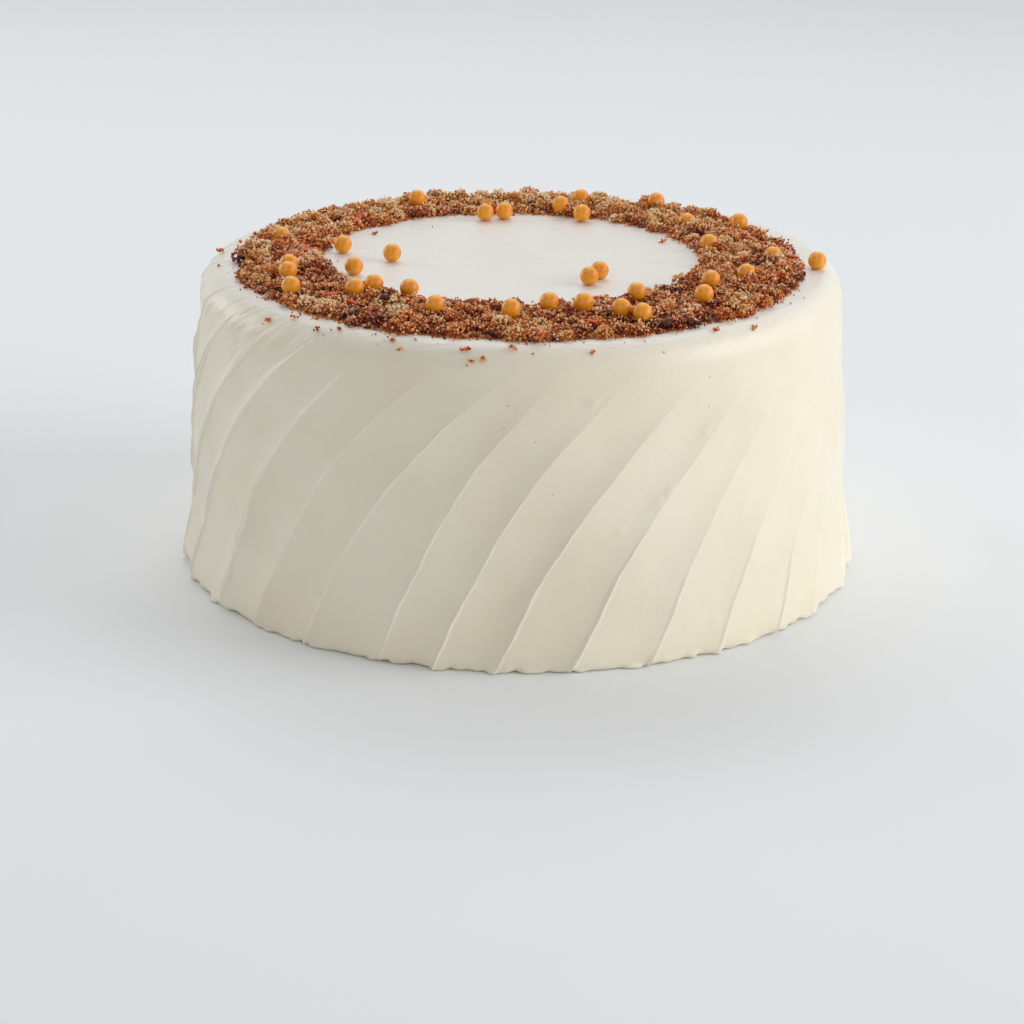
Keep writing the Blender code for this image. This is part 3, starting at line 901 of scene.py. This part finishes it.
# %% Carrot shreds
SHRED_SECTIONS = 9
SHRED_CORNERS = 8
SHRED_HALF_WIDTH = 0.85 * MM
SHRED_HALF_THICK = 0.42 * MM
shred_points, shred_sides, shred_ends = [], [], []
s = np.linspace(-0.5, 0.5, SHRED_SECTIONS)[:, None]
corner = np.linspace(0, 2 * np.pi, SHRED_CORNERS, endpoint=False)[None]
end = np.arange(SHRED_CORNERS)
for number, (degrees, millimetres, length) in enumerate(SHREDS):
    narrow = 1 - 0.65 * np.abs(2 * s) ** 3
    sideways = rng.uniform(-1.2, 1.2) * MM * (2 * s) ** 2 + SHRED_HALF_WIDTH * narrow * np.cos(corner)
    upward = rng.uniform(-0.7, 0.3) * MM * (2 * s) ** 2 + SHRED_HALF_THICK * narrow * np.sin(corner)
    local = np.stack([s * length * MM + 0 * corner, sideways, upward], axis=2).reshape(-1, 3)
    local += 0.12 * MM * rng.normal(0, 1, local.shape)
    heading = Matrix.Rotation(rng.uniform(0, math.pi), 3, "Z") @ Matrix.Rotation(rng.normal(0, 0.2), 3, "Y")
    first = number * SHRED_SECTIONS * SHRED_CORNERS
    shred_points.append(local @ np.array(heading).T + on_heap(degrees, millimetres) + [0, 0, 0.6 * MM])
    shred_sides.append(grid_faces(SHRED_SECTIONS, SHRED_CORNERS) + first)
    shred_ends.append(np.stack([end[::-1], end + (SHRED_SECTIONS - 1) * SHRED_CORNERS]) + first)
shreds = mesh_object(
    "carrot_shreds", np.concatenate(shred_points), np.concatenate(shred_sides), np.concatenate(shred_ends))

# %% Raisin bits
ball = bmesh.new()
bmesh.ops.create_icosphere(ball, subdivisions=4, radius=1.0)
raisin_ball = np.array([v.co for v in ball.verts])
raisin_faces = np.array([[v.index for v in f.verts] for f in ball.faces])
ball.free()
raisin_points = []
for number, (degrees, millimetres, length) in enumerate(RAISIN_BITS):
    folds = 1 - 2 * np.abs(lattice_noise(raisin_ball + [9.0 * number, 0, 0], 0.55, seed=71))
    local = raisin_ball * (1 + 0.16 * folds)[:, None] * [0.5, 0.36, 0.3] * length * MM
    heading = Matrix.Rotation(rng.uniform(0, math.pi), 3, "Z")
    raisin_points.append(local @ np.array(heading).T + on_heap(degrees, millimetres))
shift = len(raisin_ball) * np.arange(len(RAISIN_BITS))[:, None, None]
raisins = mesh_object(
    "raisin_bits", np.concatenate(raisin_points), (raisin_faces + shift).reshape(-1, 3))


# %% Materials: carrot grated and baked, raisin skin dried
def bit_material(name, light, deep, gloss_low, gloss_high, subsurface):
    made, tree = new_material(name)
    place = add(tree, "TexCoord")
    blotch = add(tree, "TexNoise", {
        "Vector": place.outputs["Object"], "Scale": 1 / (1.4 * MM), "Detail": 3.0})
    share = add(tree, "MapRange", {"Value": blotch.outputs["Fac"], "From Min": 0.35, "From Max": 0.65})
    colour = add(tree, "Mix", {0: share.outputs[0], 6: srgb(light), 7: srgb(deep)}, data_type="RGBA")
    gloss = add(tree, "MapRange", {
        "Value": blotch.outputs["Fac"], "To Min": gloss_low, "To Max": gloss_high})
    bump = add(tree, "Bump", {"Height": blotch.outputs["Fac"], "Strength": 0.4, "Distance": 0.2 * MM})
    shader = add(tree, "BsdfPrincipled", {
        "Base Color": colour.outputs[2], "Roughness": gloss.outputs[0], "IOR": 1.45,
        "Subsurface Weight": subsurface, "Subsurface Radius": (1.0, 0.4, 0.2),
        "Subsurface Scale": 1 * MM, "Normal": bump.outputs[0]})
    finish_material(tree, shader)
    return made


shreds.data.materials.append(bit_material("grated_carrot_baked", "#F0641E", "#C4360E", 0.25, 0.5, 0.15))
raisins.data.materials.append(bit_material("raisin_skin_dried", "#5A2014", "#260C06", 0.42, 0.65, 0.0))
for piece in (shreds, raisins):
    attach(piece, "root")

# %% [markdown]
# ## Sugar pearls
#
# A sugar pearl is a ball of pressed sugar tumbled in coloured, waxed syrup, so it is nearly round, a
# little mottled, and satin rather than glossy. Every pearl is its own piece and stands for one node of
# the model. Those on bare frosting are set a little lower than the model has them, because a real pearl
# is pressed into the icing.

# %% Pearl material: sugar ball tumbled in coloured syrup
PEARL = "#FBB024"
PEARL_DEEP = "#EC8A0A"
PEARL_SINK = 0.5 * MM
pearl_coat, tree = new_material("syrup_tumbled_sugar_pearl")
place = add(tree, "TexCoord")
mottle = add(tree, "TexNoise", {"Vector": place.outputs["Object"], "Scale": 1 / (1.8 * MM), "Detail": 2.0})
uneven = add(tree, "MapRange", {"Value": mottle.outputs["Fac"], "From Min": 0.35, "From Max": 0.65})
colour = add(tree, "Mix", {0: uneven.outputs[0], 6: srgb(PEARL), 7: srgb(PEARL_DEEP)}, data_type="RGBA")
gloss = add(tree, "MapRange", {
    "Value": mottle.outputs["Fac"], "From Min": 0.35, "From Max": 0.65, "To Min": 0.3, "To Max": 0.46})
pits = add(tree, "TexNoise", {"Vector": place.outputs["Object"], "Scale": 1 / (0.9 * MM), "Detail": 2.0})
bump = add(tree, "Bump", {"Height": pits.outputs["Fac"], "Strength": 0.15, "Distance": 0.2 * MM})
shader = add(tree, "BsdfPrincipled", {
    "Base Color": colour.outputs[2], "Roughness": gloss.outputs[0], "IOR": 1.5,
    "Coat Weight": 0.15, "Coat Roughness": 0.24, "Subsurface Weight": 0.1,
    "Subsurface Radius": (1.0, 0.6, 0.3), "Subsurface Scale": 1 * MM,
    "Normal": bump.outputs[0]})
finish_material(tree, shader)

# %% Build the pearls
for number, (name, centre) in enumerate(zip(PEARLS, pearl_centres)):
    ball = bmesh.new()
    bmesh.ops.create_icosphere(ball, subdivisions=4, radius=pearl_radius)
    for v in ball.verts:
        dent = lattice_noise([v.co + Vector((number, 0, 0))], 3 * MM, seed=61)[0]
        v.co *= 1 + 0.012 * dent
    mesh = bpy.data.meshes.new(name + "_coated")
    ball.to_mesh(mesh)
    ball.free()
    mesh.shade_smooth()
    pearl = bpy.data.objects.new(name + "_coated", mesh)
    pearl.location = centre - [0, 0, PEARL_SINK]
    bpy.context.scene.collection.objects.link(pearl)
    mesh.materials.append(pearl_coat)
    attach(pearl, "root")
    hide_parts(name)
print("pearls built:", len(PEARLS))

# %% [markdown]
# ## Floor and light
#
# The cake stands on a wide pale floor. Soft light comes mostly from the right and a little from behind,
# so the hollows show on the left as well, and a low lamp in front lights the foot. The lamps' spread is
# held to 130 degrees, which keeps bright pools off the floor beside them. All of them are white: the
# warmth is the cake's own.

# %% Floor
FLOOR = "#F4F7FA"
floor_finish, tree = new_material("matt_painted_table")
place = add(tree, "TexCoord")
grainy = add(tree, "TexNoise", {"Vector": place.outputs["Object"], "Scale": 1 / (60 * MM), "Detail": 2.0})
rough = add(tree, "MapRange", {"Value": grainy.outputs["Fac"], "To Min": 0.6, "To Max": 0.8})
shader = add(tree, "BsdfPrincipled", {"Base Color": srgb(FLOOR), "Roughness": rough.outputs[0]})
finish_material(tree, shader)
bpy.ops.mesh.primitive_circle_add(vertices=128, radius=6.0, fill_type="NGON", location=(0, 0, -0.0004))
floor = bpy.context.object
floor.name = "floor"
floor.data.materials.append(floor_finish)

# %% Lamps and world
LAMP_SPREAD_DEG = 130


def area_lamp(name, place, size, watts):
    data = bpy.data.lights.new(name, "AREA")
    data.shape = "RECTANGLE"
    data.size, data.size_y = size
    data.energy = watts
    data.spread = math.radians(LAMP_SPREAD_DEG)
    lamp = bpy.data.objects.new(name, data)
    lamp.location = place
    lamp.rotation_euler = (Vector((0, 0, 0.05)) - Vector(place)).to_track_quat("-Z", "Y").to_euler()
    bpy.context.scene.collection.objects.link(lamp)


area_lamp("window_right", (1.6, -0.25, 0.6), (1.1, 1.1), 8)
area_lamp("soft_box_above_behind", (-0.1, 1.1, 1.4), (1.4, 1.0), 3.7)
area_lamp("rim_back_left", (-1.4, 0.8, 0.5), (0.8, 0.8), 2.4)
area_lamp("low_fill_front", (0.35, -1.3, 0.1), (1.2, 0.25), 0.5)

world = bpy.data.worlds.new("studio")
bpy.context.scene.world = world
world.use_nodes = True
world.node_tree.nodes.clear()
tree = world.node_tree
light = add(tree, "Background", {"Color": (1, 1, 1, 1), "Strength": 0.45})
seen_sky = add(tree, "Background", {"Color": srgb("#EEF1F3"), "Strength": 1.0})
ray = add(tree, "LightPath")
sky_shows = add(tree, "Math", {
    0: ray.outputs["Is Camera Ray"], 1: ray.outputs["Is Glossy Ray"]}, operation="MAXIMUM")
mixed = add(tree, "MixShader", {0: sky_shows.outputs[0], 1: light.outputs[0], 2: seen_sky.outputs[0]})
add(tree, "OutputWorld", {"Surface": mixed.outputs[0]})
bpy.context.scene.view_settings.view_transform = "Standard"
